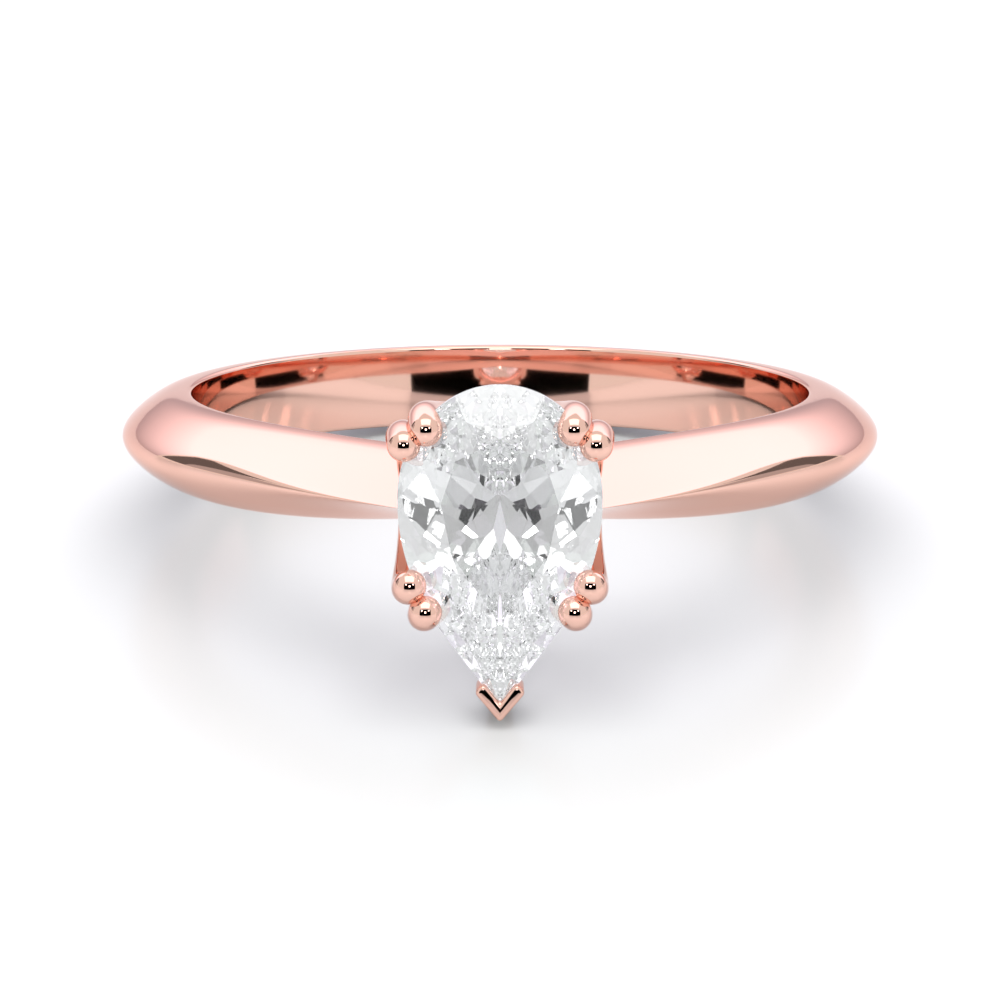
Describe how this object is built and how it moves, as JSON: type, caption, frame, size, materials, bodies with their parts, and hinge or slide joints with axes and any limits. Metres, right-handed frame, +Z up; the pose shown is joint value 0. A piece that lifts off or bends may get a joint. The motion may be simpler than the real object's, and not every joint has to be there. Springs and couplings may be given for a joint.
{
  "type": "engagement ring",
  "caption": "Solitaire ring with a pear-cut stone in double claws and a V claw, on a hoop whose ridge sharpens to a knife edge as the shoulders rise to the head.",
  "frame": {"origin": "middle of the footprint, on the surface that the ring lies on", "axes": "+Z up, which is close to the finger axis; the stone faces -Y with its point down; +X to the right of someone facing the stone"},
  "size_m": [0.0208, 0.0238, 0.0083],
  "materials": {
    "rose_gold": "high polish 14 ct rose gold",
    "diamond": "polished colourless pear brilliant"
  },
  "bodies": {
    "root": {"shank": "rose_gold", "gallery_ring": "rose_gold", "side_arch_left": "rose_gold", "side_arch_right": "rose_gold", "back_arch": "rose_gold", "front_arch": "rose_gold", "point_claw": "rose_gold", "diamond": "diamond"}
  },
  "joints": []
}
